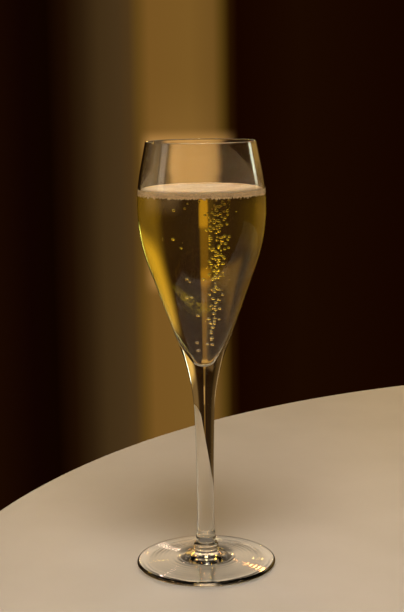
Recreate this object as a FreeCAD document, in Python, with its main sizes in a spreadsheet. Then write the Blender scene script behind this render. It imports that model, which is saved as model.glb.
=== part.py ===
import FreeCAD, Part
import math
import os
from types import SimpleNamespace

import Sketcher

# A glass of sparkling wine: a tulip flute, the wine in it and the thin foam on the wine.
#
# Millimetres, +Z up. The origin is the centre of the foot, on the table. Each piece is a solid of
# revolution about Z, drawn as a half section in its body's XZ plane, where a sketch's x is the radius
# and its y the height. The wine and the foam meet the glass, and each other, face to face.

SIZES = {
    # foot
    "foot_radius": 34.5,
    "foot_edge_round": 1.15,
    "kick_height": 1.6,  # the hollow under the foot, at its centre
    "rest_inner_radius": 29.5,  # the foot stands on the flat ring outside this radius
    "dome_radius": 16.5,
    "dome_height": 3.6,
    # joint of foot and stem: a collar on the foot, a groove, and the swollen end of the stem
    "collar_base_radius": 6.3,
    "collar_base_height": 7.3,
    "collar_round": 4.0,
    "groove_radius": 4.6,
    "groove_height": 11.4,
    "stem_end_round": 4.3,
    "stem_end_radius": 4.75,
    "stem_end_height": 14.8,
    # stem, narrowest at its waist, and the sweep that pulls it out of the bowl
    "waist_radius": 4.15,
    "waist_height": 28.0,
    "stem_round": 1500.0,
    "pull_round": 105.0,
    # outside of the bowl
    "bowl_side_angle": 69.95,  # above the level, in degrees
    "bowl_lower_round": 92.0,
    "widest_radius": 30.95,
    "widest_height": 179.5,
    "bowl_upper_round": 89.0,
    # rim
    "total_height": 210.0,
    "rim_middle_radius": 26.24,
    "rim_round": 0.5,
    # inside of the bowl
    "hollow_upper_round": 104.0,
    "hollow_widest_radius": 29.65,
    "hollow_lower_round": 86.0,
    "tip_round": 3.9,
    "tip_height": 101.7,
    # wine and foam
    "wine_level": 185.4,
    "foam_level": 186.6,
    "foam_climb": 0.9,  # how far the foam's edge climbs the wall above its flat top
    "foam_climb_width": 2.0,
}

# Sketcher's numbers for the points of an element, and for the sketch's own origin and axes
START, END, CENTRE = 1, 2, 3
ORIGIN = (-1, 1)
LEVEL_AXIS, TURN_AXIS = -1, -2
FULL_TURN = 360.0


def make_sheet(doc):
    """Writes each driving dimension to a cell of the spreadsheet that carries its name."""
    sheet = doc.addObject("Spreadsheet::Sheet", "Sizes")
    for row, (name, value) in enumerate(SIZES.items(), start=1):
        sheet.set(f"A{row}", name)
        sheet.set(f"B{row}", str(value))
        sheet.setAlias(f"B{row}", name)
    doc.recompute()


class Element:
    """A line or arc of an outline. first and last are its points in the outline's own order."""

    def __init__(self, index, forwards=True):
        self.index = index
        self.first = (index, START if forwards else END)
        self.last = (index, END if forwards else START)
        self.centre = (index, CENTRE)


class HalfSection:
    """A closed outline in a body's XZ plane: drawn near its true place, then held by constraints."""

    def __init__(self, body, name, radius, height):
        self.sketch = body.newObject("Sketcher::SketchObject", name)
        plane = next(p for p in body.Origin.OriginFeatures if p.Role == "XZ_Plane")
        self.sketch.AttachmentSupport = [(plane, "")]
        self.sketch.MapMode = "FlatFace"
        self.pen = FreeCAD.Vector(radius, height, 0)
        self.elements = []

    def rule(self, kind, *where):
        """Adds a constraint that has no size."""
        self.sketch.addConstraint(Sketcher.Constraint(kind, *where))

    def hold(self, kind, where, value, expression):
        """Adds a size, now value, and binds it to an expression of the spreadsheet's names."""
        index = self.sketch.addConstraint(Sketcher.Constraint(kind, *where, value))
        self.sketch.setExpression(f"Constraints[{index}]", expression)

    def add(self, curve, end, forwards, smooth):
        """Adds a curve from the pen to end that follows on from the element before it."""
        element = Element(self.sketch.addGeometry(curve, False), forwards)
        if self.elements:
            join = "Tangent" if smooth else "Coincident"
            self.rule(join, *self.elements[-1].last, *element.first)
        self.elements.append(element)
        self.pen = end
        return element

    def line_to(self, radius, height, smooth=False):
        """Draws a straight line."""
        end = FreeCAD.Vector(radius, height, 0)
        return self.add(Part.LineSegment(self.pen, end), end, True, smooth)

    def arc_to(self, radius, height, bend, smooth=False):
        """Draws an arc whose radius is bend, counterclockwise, or -bend and clockwise."""
        end = FreeCAD.Vector(radius, height, 0)
        chord = end - self.pen
        across = FreeCAD.Vector(-chord.y, chord.x, 0).normalize()
        reach = math.sqrt(bend**2 - (chord.Length / 2) ** 2)
        centre = self.pen + chord / 2 + across * math.copysign(reach, bend)
        first, last = (self.pen, end) if bend > 0 else (end, self.pen)
        first_angle = math.atan2(first.y - centre.y, first.x - centre.x)
        last_angle = math.atan2(last.y - centre.y, last.x - centre.x)
        if last_angle < first_angle:
            last_angle += 2 * math.pi
        circle = Part.Circle(centre, FreeCAD.Vector(0, 0, 1), abs(bend))
        arc = Part.ArcOfCircle(circle, first_angle, last_angle)
        return self.add(arc, end, bend > 0, smooth)

    def close(self):
        """Joins the last element to the first."""
        self.rule("Coincident", *self.elements[-1].last, *self.elements[0].first)

    def place(self, point, radius=None, height=None):
        """Holds a point at a radius and a height, each an expression of the spreadsheet's names."""
        spot = self.sketch.getPoint(*point)
        if radius:
            self.hold("DistanceX", (*ORIGIN, *point), spot.x, radius)
        if height:
            self.hold("DistanceY", (*ORIGIN, *point), spot.y, height)

    def bend(self, arc, radius):
        """Holds an arc's radius."""
        self.hold("Radius", (arc.index,), self.sketch.Geometry[arc.index].Radius, radius)

    def put_on(self, axis, point):
        """Holds a point on one of the sketch's axes."""
        self.rule("PointOnObject", *point, axis)

    def level(self, point, other):
        """Holds two points at one height."""
        self.rule("Horizontal", *point, *other)


def revolve(body, section, name):
    """Turns a closed half section into the body's solid."""
    turn = body.newObject("PartDesign::Revolution", name)
    turn.Profile = section.sketch
    turn.ReferenceAxis = (section.sketch, ["V_Axis"])
    turn.Angle = FULL_TURN


def make_body(doc, name):
    """Makes an empty body that stands at the object's own origin."""
    body = doc.addObject("PartDesign::Body", name)
    body.Label = name
    body.Placement = FreeCAD.Placement()
    return body


def draw_foot(section, size):
    """Draws the foot from its centre underneath, out round its edge and up to the stem's waist."""
    kick_round = size.rest_inner_radius**2 / (2 * size.kick_height)
    edge_middle = size.foot_radius - size.foot_edge_round
    dome_round = 1.5 * size.dome_radius
    flare_round = 35 * size.waist_radius

    kick = section.arc_to(size.rest_inner_radius, 0, -kick_round)
    rest = section.line_to(edge_middle, 0)
    edge = section.arc_to(edge_middle, 2 * size.foot_edge_round, 1.01 * size.foot_edge_round, True)
    section.line_to(size.dome_radius, size.dome_height, True)
    dome = section.arc_to(size.collar_base_radius, size.collar_base_height, -dome_round, True)
    collar = section.arc_to(size.groove_radius, size.groove_height, size.collar_round)
    stem_end = section.arc_to(size.stem_end_radius, size.stem_end_height, size.stem_end_round)
    flare = section.arc_to(size.waist_radius, size.waist_height, -flare_round)

    section.put_on(TURN_AXIS, kick.first)
    section.put_on(TURN_AXIS, kick.centre)
    section.place(kick.first, height="Sizes.kick_height")
    section.put_on(LEVEL_AXIS, kick.last)
    section.place(kick.last, radius="Sizes.rest_inner_radius")
    section.rule("Horizontal", rest.index)
    section.place(edge.centre, radius="Sizes.foot_radius - Sizes.foot_edge_round")
    section.bend(edge, "Sizes.foot_edge_round")
    section.place(dome.first, "Sizes.dome_radius", "Sizes.dome_height")
    section.place(dome.last, "Sizes.collar_base_radius", "Sizes.collar_base_height")
    section.bend(collar, "Sizes.collar_round")
    section.place(collar.last, "Sizes.groove_radius", "Sizes.groove_height")
    section.bend(stem_end, "Sizes.stem_end_round")
    section.place(stem_end.last, "Sizes.stem_end_radius", "Sizes.stem_end_height")
    section.place(flare.last, "Sizes.waist_radius", "Sizes.waist_height")
    section.level(flare.last, flare.centre)


def draw_outside(section, size):
    """Draws the stem and the outside of the bowl, up to the rim."""
    side = math.radians(size.bowl_side_angle)
    side_top_radius = size.widest_radius - size.bowl_lower_round * (1 - math.sin(side))
    side_top_height = size.widest_height - size.bowl_lower_round * math.cos(side)
    side_base_radius = 2.6 * size.waist_radius
    side_base_height = side_top_height - (side_top_radius - side_base_radius) * math.tan(side)
    stem_top_radius = 1.15 * size.waist_radius
    stem_top_height = side_base_height - size.pull_round / 3
    rim_base_height = 0.45 * size.widest_height + 0.55 * size.total_height
    rim_base_radius = 0.45 * size.widest_radius + 0.55 * size.rim_middle_radius
    rim_outside = size.rim_middle_radius + size.rim_round
    rim_inside = size.rim_middle_radius - size.rim_round
    rim_height = size.total_height - size.rim_round

    stem = section.arc_to(stem_top_radius, stem_top_height, -size.stem_round, True)
    pull = section.arc_to(side_base_radius, side_base_height, -size.pull_round, True)
    side_line = section.line_to(side_top_radius, side_top_height, True)
    lower = section.arc_to(size.widest_radius, size.widest_height, size.bowl_lower_round, True)
    upper = section.arc_to(rim_base_radius, rim_base_height, size.bowl_upper_round, True)
    section.line_to(rim_outside, rim_height, True)
    rim = section.arc_to(rim_inside, rim_height, 1.01 * size.rim_round, True)

    section.bend(stem, "Sizes.stem_round")
    section.bend(pull, "Sizes.pull_round")
    section.hold("Angle", (side_line.index,), side, "Sizes.bowl_side_angle * 1 deg")
    section.bend(lower, "Sizes.bowl_lower_round")
    section.place(lower.last, "Sizes.widest_radius", "Sizes.widest_height")
    section.level(lower.last, lower.centre)
    section.bend(upper, "Sizes.bowl_upper_round")
    section.place(rim.centre, "Sizes.rim_middle_radius", "Sizes.total_height - Sizes.rim_round")
    section.bend(rim, "Sizes.rim_round")


def draw_hollow(section, size, smooth):
    """Draws the inside of the bowl from where the pen is down to its tip, and returns its upper arc."""
    upper = section.arc_to(
        size.hollow_widest_radius, size.widest_height, -size.hollow_upper_round, smooth
    )
    section.bend(upper, "Sizes.hollow_upper_round")
    section.place(upper.last, "Sizes.hollow_widest_radius", "Sizes.widest_height")
    section.level(upper.last, upper.centre)

    side_top_radius = 0.73 * size.hollow_widest_radius
    side_top_height = size.widest_height - 0.42 * size.hollow_lower_round
    lower = section.arc_to(side_top_radius, side_top_height, -size.hollow_lower_round, True)
    section.line_to(0.92 * size.tip_round, size.tip_height + 0.6 * size.tip_round, True)
    tip = section.arc_to(0, size.tip_height, -1.1 * size.tip_round, True)
    section.bend(lower, "Sizes.hollow_lower_round")
    section.bend(tip, "Sizes.tip_round")
    section.put_on(TURN_AXIS, tip.centre)
    section.put_on(TURN_AXIS, tip.last)
    section.place(tip.last, height="Sizes.tip_height")
    return upper


def make_glass(doc, size):
    """The flute: foot, stem and bowl in one piece."""
    body = make_body(doc, "glass")
    section = HalfSection(body, "glass_section", 0, size.kick_height)
    draw_foot(section, size)
    draw_outside(section, size)
    rim_base_radius = 0.45 * size.hollow_widest_radius + 0.55 * size.rim_middle_radius
    rim_base_height = 0.3 * size.widest_height + 0.7 * size.total_height
    section.line_to(rim_base_radius, rim_base_height, True)
    draw_hollow(section, size, True)
    section.line_to(0, size.kick_height)
    section.close()
    revolve(body, section, "glass_turn")
    return body


def wall_radius(size, height):
    """The radius of the bowl's inside at a height above its widest place."""
    rise = height - size.widest_height
    drop = size.hollow_upper_round - math.sqrt(size.hollow_upper_round**2 - rise**2)
    return size.hollow_widest_radius - drop


def make_champagne(doc, size):
    """The wine: the bowl's inside, filled to the wine's level."""
    body = make_body(doc, "champagne")
    section = HalfSection(body, "champagne_section", 0, size.wine_level)
    top = section.line_to(wall_radius(size, size.wine_level), size.wine_level)
    draw_hollow(section, size, False)
    section.line_to(0, size.wine_level)
    section.close()
    section.put_on(TURN_AXIS, top.first)
    section.place(top.first, height="Sizes.wine_level")
    section.rule("Horizontal", top.index)
    revolve(body, section, "champagne_turn")
    return body


def make_foam(doc, size):
    """The foam: a thin disc on the wine whose edge climbs the wall."""
    body = make_body(doc, "foam")
    climb_height = size.foam_level + size.foam_climb
    climb_radius = wall_radius(size, climb_height)
    climb_round = (size.foam_climb**2 + size.foam_climb_width**2) / (2 * size.foam_climb)

    section = HalfSection(body, "foam_section", 0, size.wine_level)
    base = section.line_to(wall_radius(size, size.wine_level), size.wine_level)
    wall = section.arc_to(climb_radius, climb_height, size.hollow_upper_round)
    climb = section.arc_to(climb_radius - size.foam_climb_width, size.foam_level, -climb_round)
    top = section.line_to(0, size.foam_level, True)
    section.line_to(0, size.wine_level)
    section.close()

    section.put_on(TURN_AXIS, base.first)
    section.place(base.first, height="Sizes.wine_level")
    section.rule("Horizontal", base.index)
    section.bend(wall, "Sizes.hollow_upper_round")
    section.place(wall.centre, "Sizes.hollow_widest_radius - Sizes.hollow_upper_round")
    section.place(wall.centre, height="Sizes.widest_height")
    section.place(wall.last, height="Sizes.foam_level + Sizes.foam_climb")
    section.hold(
        "DistanceX", (*climb.last, *climb.first), size.foam_climb_width, "Sizes.foam_climb_width"
    )
    section.put_on(TURN_AXIS, top.last)
    section.place(top.last, height="Sizes.foam_level")
    section.rule("Horizontal", top.index)
    revolve(body, section, "foam_turn")
    return body


def check(doc, bodies):
    """Stops if anything failed to build, a sketch is loose, or a piece isn't one valid solid."""
    for item in doc.Objects:
        if {"Invalid", "Error"} & set(item.State):
            raise RuntimeError(f"{item.Label} failed: {item.State}")
        if item.isDerivedFrom("Sketcher::SketchObject") and not item.FullyConstrained:
            raise RuntimeError(f"{item.Label} isn't fully constrained")
    for body in bodies:
        shape = body.Shape
        if shape.isNull() or not shape.isValid() or len(shape.Solids) != 1:
            raise RuntimeError(f"{body.Label} isn't one valid solid")


def main():
    """Builds the document and writes each piece."""
    doc = FreeCAD.newDocument("glass_of_champagne")
    make_sheet(doc)
    size = SimpleNamespace(**SIZES)
    bodies = [make(doc, size) for make in (make_glass, make_champagne, make_foam)]
    doc.recompute()
    check(doc, bodies)
    os.makedirs("parts", exist_ok=True)
    for body in bodies:
        body.Shape.exportStep(f"parts/{body.Label}.step")
        print(f"{body.Label}: {body.Shape.Volume / 1000:.1f} ml, {body.Shape.BoundBox}")


main()
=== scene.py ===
import math
import random

import bmesh
import bpy
from mathutils import Euler, Matrix, Vector, noise


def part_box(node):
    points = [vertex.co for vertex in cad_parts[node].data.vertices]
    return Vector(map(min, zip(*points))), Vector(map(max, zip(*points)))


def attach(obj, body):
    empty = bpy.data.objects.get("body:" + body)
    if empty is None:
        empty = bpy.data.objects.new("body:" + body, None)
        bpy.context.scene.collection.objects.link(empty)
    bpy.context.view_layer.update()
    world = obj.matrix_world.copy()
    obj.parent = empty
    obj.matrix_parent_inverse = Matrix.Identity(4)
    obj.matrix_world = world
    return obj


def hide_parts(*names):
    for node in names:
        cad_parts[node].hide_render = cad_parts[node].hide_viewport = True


# A tulip flute of sparkling wine: the glass, the wine with its bubbles and the foam on it, on a pale
# round table in front of a dark backdrop with one lit strip. Metres, +Z up, origin under the foot.

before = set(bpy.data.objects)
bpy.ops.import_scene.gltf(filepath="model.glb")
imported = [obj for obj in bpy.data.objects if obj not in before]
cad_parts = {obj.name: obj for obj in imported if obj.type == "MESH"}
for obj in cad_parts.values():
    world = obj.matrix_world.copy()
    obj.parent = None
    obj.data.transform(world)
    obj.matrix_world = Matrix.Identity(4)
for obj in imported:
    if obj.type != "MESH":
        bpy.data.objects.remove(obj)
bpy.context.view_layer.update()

MM = 0.001
AXIS_GAP = 0.0005 * MM  # a point nearer to the axis than this lies on it

# How the outlines are turned into meshes
OUTLINE_STEP = 1.1 * MM
GLASS_SIDES = 144

# Wine
WALL_REACH = 0.12 * MM  # how far the wine and the foam reach into the glass, so that no air shows

# Foam
FOAM_BUBBLE = 0.9 * MM  # usual width of a bubble in the foam's skin
FOAM_DOME = 0.2 * FOAM_BUBBLE  # how far it stands up
FOAM_CLIMB = 0.9 * MM  # how far the foam's edge climbs the wall
FOAM_CLIMB_WIDTH = 2.0 * MM
FOAM_SWELL = 0.12 * MM  # its top's slow rise and fall, and how wide that is
FOAM_SWELL_WIDTH = 6 * MM
FOAM_SINK = 0.2 * MM  # how far its underside reaches into the wine
FOAM_SIDES = 330
FOAM_RINGS = 74
COLLAR_BUBBLE = (0.7 * MM, 1.6 * MM)  # widths of the bubbles along the wall
COLLAR_ROWS = (0.1 * MM, 0.5 * MM)  # how deep below the foam each row of them is
COLLAR_GAP = 0.15 * MM  # between them and the wall
COLLAR_LOSS = 0.3  # the most that chance takes off a width, as a share of it
COLLAR_OFFSETS = (-0.4, 0.3)  # the most that one lies below and above its row, in mm
COLLAR_STEPS = (0.7, 0.9, 1.3)  # from one to the next, in widths

# Bubbles in the wine: each train rises from start to end, given in plan. Crowding under 1 puts more of
# its bubbles high up
LOWEST_BUBBLE = 6 * MM  # above the wine's lowest point
HIGHEST_BUBBLE = 1.5 * MM  # under the foam
BUBBLE_TRAINS = [
    {"count": 230, "crowding": 0.6, "start": (0.002, -0.001), "end": (0.0066, -0.003), "spread": 0.0027},
    {"count": 12, "crowding": 0.8, "start": (-0.001, 0.002), "end": (-0.007, 0.0), "spread": 0.0035},
]
TRAIN_WIDTHS = (0.8, 1.3)  # mm, before the taper
TRAIN_TAPER = (1.3, 0.25)  # factor on a width at a train's foot, and how much less it is at its top
TRAIN_SPREAD = (0.15, 0.85)  # share of its spread that a train has at its foot, and gains on the way up
TRAIN_LEAN = 0.7  # under 1, so a train leans most low down
CLINGING_BUBBLES = 50
CLINGING_WIDTHS = (0.3, 0.6)  # mm
BUBBLE_SPACING = 0.55  # the least between two middles, as a share of both widths together

# Table
TABLE_RADIUS = 0.5
TABLE_CENTRE = (0.356, -0.068)
TABLE_FRONT = -0.12  # its straight front edge
TABLE_THICKNESS = 0.022
TABLE_SIDES = 256
FOOT_REACH = 34.5 * MM  # the foot's radius
# Painted light on the table under the foot, brighter in a ring near its rim, in place of the light that the
# clear foot passes on
FOOT_GLOW = [  # the table's own light under it, by distance from the axis as a share of that radius
    (0.0, "#56524A"),
    (0.8, "#56524A"),
    (0.9, "#948A7A"),
    (0.96, "#948A7A"),
    (1.0, "#000000"),
]

# Camera: a long lens, its height and tilt those of someone seated at the table
LENS = 78.3  # mm
SENSOR_WIDTH = 36.0  # mm
EYE_AWAY = 0.638
EYE_ASIDE = -0.0005
EYE_HEIGHT = 0.237
EYE_TILT = 9.5
EYE_ROLL = -0.75

# Backdrop colours by bearing, in degrees to the right of straight behind the glass: a warm dark room,
# and in it the lit strip behind the glass
ROOM = [
    (-180, "#6E5636"),
    (-120, "#5A4328"),
    (-60, "#4A3820"),
    (-38, "#4A3518"),
    (-28, "#1E1204"),
    (-9, "#1C0A01"),
    (9, "#170700"),
    (19, "#261403"),
    (26, "#765930"),
    (60, "#765930"),
    (75, "#4A3820"),
    (120, "#5A4328"),
    (180, "#6E5636"),
]
STRIP = [
    (-10, "#1E0C02"),
    (-7.4, "#100301"),
    (-6.4, "#0E0300"),
    (-5.6, "#1D0D03"),
    (-4.9, "#2D1D0C"),
    (-4.2, "#3F2D16"),
    (-3.4, "#45321A"),
    (-2.95, "#4C361A"),
    (-2.55, "#614519"),
    (-2.1, "#765322"),
    (-0.4, "#785624"),
    (0.6, "#6F4F21"),
    (0.95, "#543C12"),
    (1.3, "#261302"),
    (1.65, "#150400"),
    (4.2, "#1A0901"),
    (10, "#130300"),
]
STRIP_EDGE = 10  # degrees to each side
STRIP_SOFTNESS = 0.1

# Lit parts of the room: bearing, height angle, reach to each side, reach up and down, softness of the
# side edges, softness of the upper and lower edges, colour. Angles are in degrees, and a softness is the
# share of the reach over which the light fades
LIT_PARTS = [
    (-0.5, -3.8, 2.2, 1.95, 0.34, 0.436, "#9A7342"),  # the strip's warm middle, behind the bowl
    (-0.5, -7.0, 2.1, 2.1, 0.42, 0.405, "#9A7342"),  # its lower end
    (-0.7, -4.4, 2.1, 5.0, 0.8, 0.9, "#3A2A15"),  # a dimmer light along both
    (-1.6, 7.4, 3.4, 3.8, 0.5, 0.5, "#92692E"),  # the strip higher up
    (-14, 8.6, 12, 5.0, 0.5, 0.5, "#5D4626"),  # a dim light to the left of that
    (46, 13, 27, 13, 0.55, 0.55, "#DAAA50"),  # the wall on the right
    (0, 27, 34, 17, 0.5, 0.5, "#DEC4A2"),  # the ceiling beyond the glass
    (0, 20, 26, 12, 0.6, 0.6, "#B29B7E"),  # more of it low down, for the foot to mirror
    (-100, 12, 50, 22, 0.5, 0.5, "#D0A870"),  # the wall on the left
]
CEILING = "#2C2A26"
CEILING_STARTS = -0.6  # it fades towards the viewer's side, between y 0 and this y of the direction
CEILING_HEIGHTS = (24.0, 48.0)  # the height angles over which it comes in
WALLS_FADE = (22.0, 50.0)  # and those over which the walls' own light goes
WALLS_LEFT = 0.1  # the share of it that is left overhead

# Soft panels: name, bearing, height angle, distance, width, height, edge softness, colour, brightness,
# and whether it shows in the glass. They face a point on the axis, low in the bowl
PANEL_AIM = 0.12
PANELS = [
    ("key_panel", 177, 66, 0.37, 0.19, 0.19, 0.6, "#FFF6EC", 29.0, False),
    ("fill_panel", 155, 72, 0.45, 0.2, 0.2, 0.6, "#FFF4E4", 2.5, True),
    ("window_panel", 62, 17, 1.2, 0.2, 0.6, 0.3, "#F4F8DA", 4.4, True),
    ("side_panel", 259, 14, 1.2, 0.42, 0.5, 0.6, "#FFE2C0", 1.8, True),
    ("lamp_1", -11, 17, 1.5, 0.05, 0.05, 0.4, "#FFC860", 60.0, True),
    ("lamp_2", 12, 15, 1.5, 0.05, 0.05, 0.4, "#FFD070", 60.0, True),
    ("lamp_3", -4.5, 10, 1.5, 0.04, 0.04, 0.4, "#FFDCC0", 10.0, True),
    ("lamp_4", -7, 26, 1.5, 0.028, 0.028, 0.4, "#FFDCC8", 26.0, True),
    ("lamp_5", 8, 22, 1.5, 0.05, 0.05, 0.4, "#FFB060", 40.0, True),
    ("lamp_6", 0, 50, 1.2, 0.2, 0.14, 0.4, "#FFE6A8", 16.0, True),
    ("lamp_7", -38, 34, 1.2, 0.22, 0.18, 0.4, "#FFD050", 14.0, True),
    ("lamp_8", 36, 30, 1.2, 0.18, 0.14, 0.4, "#FFAE60", 12.0, True),
]


def linear(code):
    """An sRGB hex colour as linear red, green, blue and alpha."""
    parts = [int(code[i : i + 2], 16) / 255 for i in (1, 3, 5)]
    return (*[c / 12.92 if c <= 0.04045 else ((c + 0.055) / 1.055) ** 2.4 for c in parts], 1.0)


def add(tree, kind, inputs=None, **settings):
    """Adds a node, sets its properties, and gives each input a value or links it to an output."""
    item = tree.nodes.new(kind)
    for name, value in settings.items():
        setattr(item, name, value)
    for key, value in (inputs or {}).items():
        if isinstance(value, bpy.types.NodeSocket):
            tree.links.new(value, item.inputs[key])
        else:
            item.inputs[key].default_value = value
    return item


def new_material(name):
    """An empty material: the material, its node tree and its output node."""
    material = bpy.data.materials.new(name)
    material.use_nodes = True
    tree = material.node_tree
    tree.nodes.clear()
    return material, tree, add(tree, "ShaderNodeOutputMaterial")


def ramp(tree, factor, stops):
    """A colour ramp from (position, hex colour) stops."""
    item = add(tree, "ShaderNodeValToRGB", {0: factor})
    while len(item.color_ramp.elements) < len(stops):
        item.color_ramp.elements.new(1.0)
    for element, (position, code) in zip(item.color_ramp.elements, stops):
        element.position = position
        element.color = linear(code)
    return item.outputs[0]


# --- materials ---------------------------------------------------------------------------------------


def clear_blown_glass():
    """Soda-lime glass, machine blown and fire polished: clear, wet-looking, with a very faint ripple.

    The foot alone has faint rings round the axis as well, which break up what is seen in it.
    """
    material, tree, output = new_material("clear_blown_glass")
    place = add(tree, "ShaderNodeTexCoord").outputs["Object"]
    ripple_width, ripple_depth = 9 * MM, 0.008 * MM
    ripple = add(
        tree,
        "ShaderNodeTexNoise",
        {"Vector": place, "Scale": 1 / ripple_width, "Detail": 1.0, "Roughness": 0.4},
    )
    waves = add(
        tree,
        "ShaderNodeBump",
        {"Strength": 1.0, "Distance": ripple_depth, "Height": ripple.outputs[0]},
    )
    ring_width, ring_depth = 2.2 * MM, 0.02 * MM
    one_ring = 0.314  # how far a wave texture of scale 1 takes to repeat
    rings = add(
        tree,
        "ShaderNodeTexWave",
        {
            "Vector": place,
            "Scale": one_ring / ring_width,
            "Distortion": 2.5,
            "Detail": 1.5,
            "Detail Scale": 0.25,
        },
        wave_type="RINGS",
        rings_direction="Z",
    )
    height = add(tree, "ShaderNodeSeparateXYZ", {0: place}).outputs[2]
    rings_full, rings_gone = 3.4 * MM, 5.0 * MM  # heights, where the foot curves up into the stem
    on_foot = add(
        tree,
        "ShaderNodeMapRange",
        {"Value": height, "From Min": rings_gone, "From Max": rings_full},
    )
    ring_height = add(
        tree, "ShaderNodeMath", {0: rings.outputs[1], 1: on_foot.outputs[0]}, operation="MULTIPLY"
    )
    bump = add(
        tree,
        "ShaderNodeBump",
        {
            "Strength": 1.0,
            "Distance": ring_depth,
            "Height": ring_height.outputs[0],
            "Normal": waves.outputs[0],
        },
    )
    shader = add(
        tree,
        "ShaderNodeBsdfPrincipled",
        {
            "Base Color": linear("#FDFDFC"),
            "Roughness": 0.0,
            "IOR": 1.52,
            "Transmission Weight": 1.0,
            "Normal": bump.outputs[0],
        },
    )
    tree.links.new(shader.outputs[0], output.inputs["Surface"])
    return material


def sparkling_white_wine():
    """Clear white wine: no colour of its own at the surface, a pale gold that deepens with depth."""
    material, tree, output = new_material("sparkling_white_wine")
    shader = add(
        tree,
        "ShaderNodeBsdfPrincipled",
        {
            "Base Color": linear("#FFFFFF"),
            "Roughness": 0.0,
            "IOR": 1.34,
            "Transmission Weight": 1.0,
        },
    )
    gold = {"Color": linear("#FDF70A"), "Density": 46.0}  # takes blue first, over centimetres of wine
    depth = add(tree, "ShaderNodeVolumeAbsorption", gold)
    tree.links.new(shader.outputs[0], output.inputs["Surface"])
    tree.links.new(depth.outputs[0], output.inputs["Volume"])
    return material


def wet_wine_foam():
    """Fine wet bubbles of wine: cream, soft and glossy, each bubble's skin catching its own light.

    At the wall it has a faint painted light, brightest in each fine bubble's middle, in place of the room's
    light that the glass passes on.
    """
    material, tree, output = new_material("wet_wine_foam")
    place = add(tree, "ShaderNodeTexCoord").outputs["Object"]
    fine_width, fine_depth = 0.5 * FOAM_BUBBLE, 0.06 * MM
    fine = add(
        tree,
        "ShaderNodeTexVoronoi",
        {"Vector": place, "Scale": 1 / fine_width, "Randomness": 1.0},
    )
    patch_width = 7 * MM
    patches = add(
        tree, "ShaderNodeTexNoise", {"Vector": place, "Scale": 1 / patch_width, "Detail": 3.0}
    )
    tone = ramp(tree, patches.outputs[0], [(0.3, "#B4966E"), (0.55, "#C8AC86"), (0.75, "#D8C4A4")])
    bump = add(
        tree,
        "ShaderNodeBump",
        {"Strength": 0.3, "Distance": fine_depth, "Height": fine.outputs["Distance"]},
    )
    level = add(tree, "ShaderNodeVectorMath", {0: place, 1: (1, 1, 0)}, operation="MULTIPLY")
    off_axis = add(tree, "ShaderNodeVectorMath", {0: level.outputs[0]}, operation="LENGTH")
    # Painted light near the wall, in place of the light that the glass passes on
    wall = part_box("foam")[1][0]
    unlit, lit = wall - 1.3 * MM, wall - 0.2 * MM
    at_wall = add(
        tree,
        "ShaderNodeMapRange",
        {"Value": off_axis.outputs["Value"], "From Min": unlit, "From Max": lit},
        interpolation_type="SMOOTHSTEP",
    )
    # Painted highlight: that light is brightest in each fine bubble's middle and dim at its edge
    bubble_edge = 0.7  # from the middle of a fine bubble, in widths
    middle_light, edge_light = 1.3, 0.25
    bubble_painted_highlight = add(
        tree,
        "ShaderNodeMapRange",
        {
            "Value": fine.outputs["Distance"],
            "From Max": bubble_edge,
            "To Min": middle_light,
            "To Max": edge_light,
        },
    )
    passed_on = add(
        tree, "ShaderNodeMath", {0: at_wall.outputs[0], 1: bubble_painted_highlight.outputs[0]}, operation="MULTIPLY"
    )
    shader = add(
        tree,
        "ShaderNodeBsdfPrincipled",
        {
            "Base Color": tone,
            "Emission Color": linear("#AB8D64"),
            "Emission Strength": passed_on.outputs[0],
            "Roughness": 0.28,
            "IOR": 1.34,
            "Subsurface Weight": 1.0,
            "Subsurface Radius": (1.0, 0.85, 0.55),
            "Subsurface Scale": 2.5 * MM,
            "Normal": bump.outputs[0],
        },
    )
    tree.links.new(shader.outputs[0], output.inputs["Surface"])
    return material


def gas_bubble_skin():
    """Carbon dioxide in wine: colourless, seen only by how each bubble bends and mirrors the light."""
    material, tree, output = new_material("gas_bubble_skin")
    shader = add(
        tree,
        "ShaderNodeBsdfPrincipled",
        {
            "Base Color": linear("#FFFFFF"),
            "Roughness": 0.0,
            "IOR": 1.34,
            "Transmission Weight": 1.0,
        },
    )
    tree.links.new(shader.outputs[0], output.inputs["Surface"])
    return material


def pale_laminate():
    """Matt pale laminate: warm grey, with the slight cloudiness of its paper and a dull sheen.

    Under the foot it has a faint light of its own, in place of the room's light that the foot passes on.
    """
    material, tree, output = new_material("pale_laminate")
    place = add(tree, "ShaderNodeTexCoord").outputs["Object"]
    cloud_width = 60 * MM
    grain_width, grain_depth = 1.5 * MM, 0.05 * MM  # coarser than the real grain, which is too fine to show
    clouds = add(
        tree, "ShaderNodeTexNoise", {"Vector": place, "Scale": 1 / cloud_width, "Detail": 4.0}
    )
    grain = add(
        tree, "ShaderNodeTexNoise", {"Vector": place, "Scale": 1 / grain_width, "Detail": 2.0}
    )
    tone = ramp(tree, clouds.outputs[0], [(0.3, "#B6B0A8"), (0.7, "#BEB8B1")])
    # Painted light under the foot: the table glows there by distance from the axis
    spot = add(tree, "ShaderNodeNewGeometry").outputs["Position"]
    off_axis = add(tree, "ShaderNodeVectorMath", {0: spot}, operation="LENGTH").outputs["Value"]
    outward = add(tree, "ShaderNodeMath", {0: off_axis, 1: 1 / FOOT_REACH}, operation="MULTIPLY")
    passed_on = ramp(tree, outward.outputs[0], FOOT_GLOW)
    bump = add(
        tree,
        "ShaderNodeBump",
        {"Strength": 0.1, "Distance": grain_depth, "Height": grain.outputs[0]},
    )
    shader = add(
        tree,
        "ShaderNodeBsdfPrincipled",
        {
            "Base Color": tone,
            "Roughness": 0.42,
            "Normal": bump.outputs[0],
            "Emission Color": passed_on,
            "Emission Strength": 1.0,
        },
    )
    tree.links.new(shader.outputs[0], output.inputs["Surface"])
    return material


# --- shapes ------------------------------------------------------------------------------------------


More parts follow.
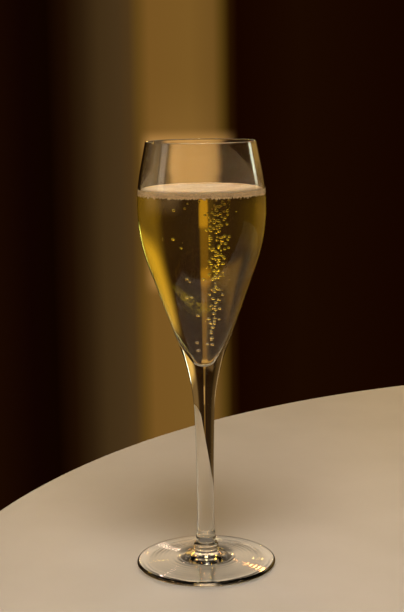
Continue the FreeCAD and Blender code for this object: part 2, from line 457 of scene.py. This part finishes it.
def half_section(node):
    """A CAD piece's outline as (radius, height), in the plane y = 0, from its lowest point on the axis."""
    mesh = bmesh.new()
    mesh.from_mesh(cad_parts[node].data)
    bmesh.ops.remove_doubles(mesh, verts=mesh.verts, dist=AXIS_GAP)
    seam = {v for v in mesh.verts if abs(v.co.y) < AXIS_GAP and v.co.x > -AXIS_GAP}
    here = min((v for v in seam if v.co.x < AXIS_GAP), key=lambda v: v.co.z)
    before = None
    outline = []
    while here:
        outline.append(Vector((max(here.co.x, 0.0), here.co.z)))
        ahead = [edge.other_vert(here) for edge in here.link_edges]
        ahead = [v for v in ahead if v in seam and v is not before]
        before, here = here, ahead[0] if ahead else None
    mesh.free()
    return outline


def tangent(before, here, after):
    """The outline's direction at a point, from its neighbours: straight stretches stay straight."""
    return (after - before) / ((here - before).length + (after - here).length)


def smooth(outline, step):
    """The outline with points at most step apart, on a smooth curve through the ones it has."""
    mirrored = Vector((-outline[1].x, outline[1].y))  # the outline crosses the axis square on
    ends = [mirrored, *outline, 2 * outline[-1] - outline[-2]]
    slopes = [tangent(*ends[i : i + 3]) for i in range(len(outline))]
    result = [outline[0]]
    for i in range(len(outline) - 1):
        a, b = outline[i], outline[i + 1]
        span = (b - a).length
        count = max(1, math.ceil(span / step))
        for k in range(1, count + 1):
            t = k / count
            result.append(
                a * (2 * t**3 - 3 * t**2 + 1)
                + slopes[i] * span * (t**3 - 2 * t**2 + t)
                + b * (3 * t**2 - 2 * t**3)
                + slopes[i + 1] * span * (t**3 - t**2)
            )
    return result


def finish_mesh(name, mesh, material):
    """Makes an object of a bmesh, smooth shaded, with outward normals."""
    bmesh.ops.recalc_face_normals(mesh, faces=mesh.faces)
    for face in mesh.faces:
        face.smooth = True
    data = bpy.data.meshes.new(name)
    mesh.to_mesh(data)
    mesh.free()
    data.materials.append(material)
    piece = bpy.data.objects.new(name, data)
    bpy.context.collection.objects.link(piece)
    return piece


def turn(mesh, outline, sides):
    """Turns an outline about the axis into a closed skin. Its first and last points are on the axis."""
    angles = [2 * math.pi * k / sides for k in range(sides)]
    rings = []
    for point in outline:
        if point.x < AXIS_GAP:
            rings.append([mesh.verts.new((0, 0, point.y))] * sides)
            continue
        rings.append(
            [mesh.verts.new((point.x * math.cos(a), point.x * math.sin(a), point.y)) for a in angles]
        )
    for lower, upper in zip(rings, rings[1:]):
        for k in range(sides):
            corners = (lower[k], lower[k - 1], upper[k - 1], upper[k])
            mesh.faces.new(dict.fromkeys(corners))


def grow(outline, reach):
    """The outline moved out by reach, square to itself."""
    moved = []
    for i, point in enumerate(outline):
        along = outline[min(i + 1, len(outline) - 1)] - outline[max(i - 1, 0)]
        out = Vector((along.y, -along.x)).normalized()
        if point.x < AXIS_GAP:
            out = Vector((0, -1))
        moved.append(point + out * reach)
    return moved


def make_glass(material):
    """The flute, turned from its CAD outline, and nowhere below the table."""
    outline = smooth(half_section("glass"), OUTLINE_STEP)
    mesh = bmesh.new()
    turn(mesh, [Vector((point.x, max(point.y, 0.0))) for point in outline], GLASS_SIDES)
    glass = finish_mesh("flute", mesh, material)
    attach(glass, "root")
    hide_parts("glass")
    return glass


def wall_outline():
    """The inside of the bowl below the wine's level, from its tip up, reaching just into the glass."""
    return grow(smooth(half_section("champagne"), OUTLINE_STEP), WALL_REACH)


def make_wine(material):
    """The wine, turned from the bowl's inside, with a level top."""
    wall = wall_outline()
    mesh = bmesh.new()
    turn(mesh, [*wall, Vector((0, wall[-1].y))], GLASS_SIDES)
    wine = finish_mesh("wine", mesh, material)
    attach(wine, "root")
    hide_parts("champagne")
    return wine


def add_bubble(mesh, centre, width, detail):
    """Adds one bubble, a little flattened, and turned by an angle that goes with its place."""
    half_height = 0.46 * width
    place = (
        Matrix.Translation(centre)
        @ Matrix.Diagonal((width / 2, width / 2, half_height, 1))
        @ Euler((0, 0, centre.x / MM)).to_matrix().to_4x4()
    )
    bmesh.ops.create_icosphere(mesh, subdivisions=detail, radius=1.0, matrix=place)


def skin_height(x, y):
    """How far a bubble of the foam's skin stands up at a place, from 0 at its edge."""
    slice_height = 0.3 * FOAM_BUBBLE  # the bubbles lie at random heights, and this level cuts them
    dome_reach = 0.75  # from a bubble's middle, in widths
    distances, _ = noise.voronoi(Vector((x, y, slice_height)) / FOAM_BUBBLE)
    return FOAM_DOME * max(0.0, 1 - (distances[0] / dome_reach) ** 2)


def make_foam(material):
    """The foam: a bubbly skin on the wine that climbs the wall, and a collar of larger bubbles."""
    rng = random.Random(7)
    low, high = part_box("foam")
    wall = high[0] + WALL_REACH
    headroom = 0.1 * MM
    flat = high[2] - FOAM_CLIMB - headroom
    base = low[2] - FOAM_SINK
    climb_share = 0.75  # the rest leaves room for the swell and the domes below the CAD piece's top
    underside_share = 0.8
    elsewhere = 0.1  # the underside takes its bubbles from another part of the pattern

    def top(radius, angle):
        x, y = radius * math.cos(angle), radius * math.sin(angle)
        climb = FOAM_CLIMB * max(0.0, 1 - (wall - radius) / FOAM_CLIMB_WIDTH) ** 2
        swell = FOAM_SWELL * noise.noise(Vector((x, y, 0)) / FOAM_SWELL_WIDTH)
        return Vector((x, y, flat + climb_share * climb + swell + skin_height(x, y)))

    def under(radius, angle):
        x, y = radius * math.cos(angle), radius * math.sin(angle)
        return Vector((x, y, base - underside_share * skin_height(x + elsewhere, y)))

    mesh = bmesh.new()
    angles = [2 * math.pi * k / FOAM_SIDES for k in range(FOAM_SIDES)]
    crowding = 0.9  # under 1, so the rings lie a little closer together towards the wall
    radii = [wall * (i / FOAM_RINGS) ** crowding for i in range(1, FOAM_RINGS + 1)]
    rings = [[mesh.verts.new(under(r, a)) for a in angles] for r in radii]
    rings += [[mesh.verts.new(top(r, a)) for a in angles] for r in reversed(radii)]
    for lower, upper in zip(rings, rings[1:]):
        for k in range(FOAM_SIDES):
            mesh.faces.new((lower[k], lower[k - 1], upper[k - 1], upper[k]))
    for ring in (rings[0], rings[-1]):
        middle = mesh.verts.new(sum((v.co for v in ring), Vector()) / FOAM_SIDES)
        for k in range(FOAM_SIDES):
            mesh.faces.new((middle, ring[k], ring[k - 1]))
    foam = finish_mesh("foam_skin", mesh, material)
    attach(foam, "root")
    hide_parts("foam")

    beads = bmesh.new()
    for depth in COLLAR_ROWS:
        angle = rng.random()
        end = angle + 2 * math.pi
        while angle < end:
            width = rng.uniform(*COLLAR_BUBBLE) * (1 - COLLAR_LOSS * rng.random())
            reach = high[0] - COLLAR_GAP - width / 2
            height = low[2] - depth + rng.uniform(*COLLAR_OFFSETS) * MM
            centre = Vector((reach * math.cos(angle), reach * math.sin(angle), height))
            add_bubble(beads, centre, width, detail=2)
            angle += rng.choice(COLLAR_STEPS) * width / reach
    collar = finish_mesh("foam_collar", beads, material)
    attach(collar, "root")


def make_bubbles(material):
    """The bubbles in the wine: one busy train, a thin one, and small ones that cling to the wall."""
    rng = random.Random(31)
    wall = half_section("champagne")
    bottom, top = wall[0].y + LOWEST_BUBBLE, wall[-1].y - HIGHEST_BUBBLE

    def room(height):
        """The bowl's inner radius at the outline's next point below a height."""
        above = next(i for i, point in enumerate(wall) if point.y >= height)
        return wall[above - 1].x

    mesh = bmesh.new()
    taken = []

    def drop_in(centre, width):
        """Adds a bubble where it meets neither another nor the wall."""
        if any((centre - other).length < BUBBLE_SPACING * (width + size) for other, size in taken):
            return
        if centre.xy.length + width > room(centre.z):
            return
        taken.append((centre, width))
        add_bubble(mesh, centre, width, detail=3)

    for train in BUBBLE_TRAINS:
        for _ in range(train["count"]):
            rise = rng.random() ** train["crowding"]
            height = bottom + rise * (top - bottom)
            middle = Vector(train["start"]).lerp(Vector(train["end"]), rise**TRAIN_LEAN)
            spread = train["spread"] * (TRAIN_SPREAD[0] + TRAIN_SPREAD[1] * rise)
            centre = Vector(
                (middle.x + rng.gauss(0, spread), middle.y + rng.gauss(0, spread), height)
            )
            taper = TRAIN_TAPER[0] - TRAIN_TAPER[1] * rise
            drop_in(centre, rng.uniform(*TRAIN_WIDTHS) * taper * MM)
    for _ in range(CLINGING_BUBBLES):
        height = rng.uniform(bottom, top)
        width = rng.uniform(*CLINGING_WIDTHS) * MM
        angle = rng.uniform(0, 2 * math.pi)
        reach = room(height) - width
        drop_in(Vector((reach * math.cos(angle), reach * math.sin(angle), height)), width)
    bubbles = finish_mesh("wine_bubbles", mesh, material)
    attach(bubbles, "root")


# --- stage -------------------------------------------------------------------------------------------


def make_table(material):
    """A pale table top, round with one straight side, with a softened edge."""
    soft = 4 * MM
    soft_steps = 12
    gap = 0.03 * MM  # under the foot, so that the two flat faces don't fight
    outline = [Vector((0, -TABLE_THICKNESS)), Vector((TABLE_RADIUS - soft, -TABLE_THICKNESS))]
    for k in range(soft_steps + 1):
        angle = math.pi * (k / soft_steps - 0.5)
        height = -TABLE_THICKNESS / 2 + (TABLE_THICKNESS / 2 - gap) * math.sin(angle)
        outline.append(Vector((TABLE_RADIUS - soft + soft * math.cos(angle), height)))
    outline.append(Vector((0, -gap)))
    mesh = bmesh.new()
    turn(mesh, outline, TABLE_SIDES)
    for vertex in mesh.verts:
        vertex.co.y = max(vertex.co.y, TABLE_FRONT - TABLE_CENTRE[1])
    table = finish_mesh("table_top", mesh, material)
    for face in table.data.polygons:
        face.use_smooth = abs(face.normal.z) < 0.99  # only the edge is round
    table.location = (*TABLE_CENTRE, 0)
    table.visible_glossy = False  # mirror images in the glass show the room in its place


def soft_edged(tree, value, middle, reach, softness):
    """1 near the middle of a range and 0 beyond its reach, with a soft change between."""
    off = add(tree, "ShaderNodeMath", {0: value, 1: middle}, operation="SUBTRACT")
    size = add(tree, "ShaderNodeMath", {0: off.outputs[0]}, operation="ABSOLUTE")
    fade = add(
        tree,
        "ShaderNodeMapRange",
        {"Value": size.outputs[0], "From Min": reach, "From Max": reach * (1 - softness)},
        interpolation_type="SMOOTHSTEP",
    )
    return fade.outputs[0]


def add_light(tree, total, share, code):
    """The light so far with a share of one more colour added."""
    more = add(tree, "ShaderNodeVectorMath", {0: linear(code)[:3], "Scale": share}, operation="SCALE")
    both = add(tree, "ShaderNodeVectorMath", {0: total, 1: more.outputs[0]}, operation="ADD")
    return both.outputs[0]


def make_backdrop():
    """A warm dark room all round: one lit strip behind the glass, lit walls aside, a lit ceiling."""
    world = bpy.data.worlds.new("backdrop")
    bpy.context.scene.world = world
    world.use_nodes = True
    tree = world.node_tree
    tree.nodes.clear()
    way = add(tree, "ShaderNodeTexCoord").outputs["Generated"]
    parts = add(tree, "ShaderNodeSeparateXYZ", {0: way}).outputs
    around = add(tree, "ShaderNodeMath", {0: parts[0], 1: parts[1]}, operation="ARCTAN2")
    bearing = add(tree, "ShaderNodeMath", {0: around.outputs[0]}, operation="DEGREES").outputs[0]
    rise = add(tree, "ShaderNodeMath", {0: parts[2]}, operation="ARCSINE")
    height = add(tree, "ShaderNodeMath", {0: rise.outputs[0]}, operation="DEGREES").outputs[0]
    all_round = add(
        tree, "ShaderNodeMath", {0: bearing, 1: 1 / 360, 2: 0.5}, operation="MULTIPLY_ADD"
    )
    room = ramp(tree, all_round.outputs[0], [(0.5 + degrees / 360, code) for degrees, code in ROOM])
    behind = add(
        tree,
        "ShaderNodeMath",
        {0: bearing, 1: 0.5 / STRIP_EDGE, 2: 0.5},
        operation="MULTIPLY_ADD",
    )
    strip = ramp(
        tree,
        behind.outputs[0],
        [(0.5 + 0.5 * degrees / STRIP_EDGE, code) for degrees, code in STRIP],
    )
    walls = add(
        tree,
        "ShaderNodeMapRange",
        {
            "Value": height,
            "From Min": WALLS_FADE[0],
            "From Max": WALLS_FADE[1],
            "To Min": 1.0,
            "To Max": WALLS_LEFT,
        },
        interpolation_type="SMOOTHSTEP",
    )
    room = add(
        tree, "ShaderNodeVectorMath", {0: room, "Scale": walls.outputs[0]}, operation="SCALE"
    ).outputs[0]
    in_strip = soft_edged(tree, bearing, 0, STRIP_EDGE, STRIP_SOFTNESS)
    total = add(tree, "ShaderNodeMix", {0: in_strip, 6: room, 7: strip}, data_type="RGBA").outputs[2]
    for side, up, reach_aside, reach_up, soft_aside, soft_up, code in LIT_PARTS:
        across = soft_edged(tree, bearing, side, reach_aside, soft_aside)
        along = soft_edged(tree, height, up, reach_up, soft_up)
        share = add(tree, "ShaderNodeMath", {0: across, 1: along}, operation="MULTIPLY")
        total = add_light(tree, total, share.outputs[0], code)
    overhead = add(
        tree,
        "ShaderNodeMapRange",
        {"Value": height, "From Min": CEILING_HEIGHTS[0], "From Max": CEILING_HEIGHTS[1]},
        interpolation_type="SMOOTHSTEP",
    )
    beyond = add(
        tree,
        "ShaderNodeMapRange",
        {"Value": parts[1], "From Min": CEILING_STARTS, "From Max": 0.0},
        interpolation_type="SMOOTHSTEP",
    )
    share = add(
        tree, "ShaderNodeMath", {0: overhead.outputs[0], 1: beyond.outputs[0]}, operation="MULTIPLY"
    )
    total = add_light(tree, total, share.outputs[0], CEILING)
    light = add(tree, "ShaderNodeBackground", {"Color": total, "Strength": 1.0})
    output = add(tree, "ShaderNodeOutputWorld")
    tree.links.new(light.outputs[0], output.inputs["Surface"])


def panel_cloth(name, size, softness, colour, brightness):
    """Lit diffuser cloth: even in the middle and fading to nothing at its edges."""
    material, tree, output = new_material(name)
    place = add(tree, "ShaderNodeTexCoord").outputs["Object"]
    parts = add(tree, "ShaderNodeSeparateXYZ", {0: place}).outputs
    across, along = [soft_edged(tree, part, 0, side / 2, softness) for side, part in zip(size, parts)]
    share = add(tree, "ShaderNodeMath", {0: across, 1: along}, operation="MULTIPLY")
    strength = add(
        tree, "ShaderNodeMath", {0: share.outputs[0], 1: brightness}, operation="MULTIPLY"
    )
    light = add(
        tree, "ShaderNodeEmission", {"Color": linear(colour), "Strength": strength.outputs[0]}
    )
    tree.links.new(light.outputs[0], output.inputs["Surface"])
    return material


def make_panel(name, around, up, away, width, height, softness, colour, brightness, in_glass):
    """A soft light panel that faces the bowl, at a bearing from behind the glass and a height angle."""
    aim = Vector((0, 0, PANEL_AIM))
    bearing, lift = math.radians(around), math.radians(up)
    way = Vector(
        (math.sin(bearing) * math.cos(lift), math.cos(bearing) * math.cos(lift), math.sin(lift))
    )
    mesh = bmesh.new()
    corners = ((-1, -1), (1, -1), (1, 1), (-1, 1))
    mesh.faces.new([mesh.verts.new((x * width / 2, y * height / 2, 0)) for x, y in corners])
    panel = finish_mesh(name, mesh, panel_cloth(name, (width, height), softness, colour, brightness))
    panel.location = aim + way * away
    panel.rotation_euler = way.to_track_quat("Z", "Y").to_euler()
    panel.visible_camera = False
    panel.visible_glossy = in_glass  # the main light would leave a patch in the wine
    panel.visible_transmission = in_glass


def make_camera():
    """A long lens a little above the rim, looking down at the whole glass."""
    data = bpy.data.cameras.new("camera")
    data.sensor_width = SENSOR_WIDTH
    data.lens = LENS
    camera = bpy.data.objects.new("camera", data)
    camera.location = (EYE_ASIDE, -EYE_AWAY, EYE_HEIGHT)
    level = Euler((math.radians(90 - EYE_TILT), 0, 0)).to_matrix()
    roll = Euler((0, 0, math.radians(EYE_ROLL))).to_matrix()
    camera.rotation_euler = (level @ roll).to_euler()
    bpy.context.collection.objects.link(camera)
    bpy.context.scene.camera = camera


def main():
    """Builds the glass and its stage."""
    make_camera()
    make_backdrop()
    for panel in PANELS:
        make_panel(*panel)
    make_table(pale_laminate())
    make_glass(clear_blown_glass())
    make_wine(sparkling_white_wine())
    make_foam(wet_wine_foam())
    make_bubbles(gas_bubble_skin())

    scene = bpy.context.scene
    scene.view_settings.view_transform = "Standard"
    bounces = 24  # light crosses the glass, the wine and many bubbles before it leaves
    scene.cycles.max_bounces = bounces
    scene.cycles.transmission_bounces = bounces
    scene.cycles.transparent_max_bounces = bounces


main()
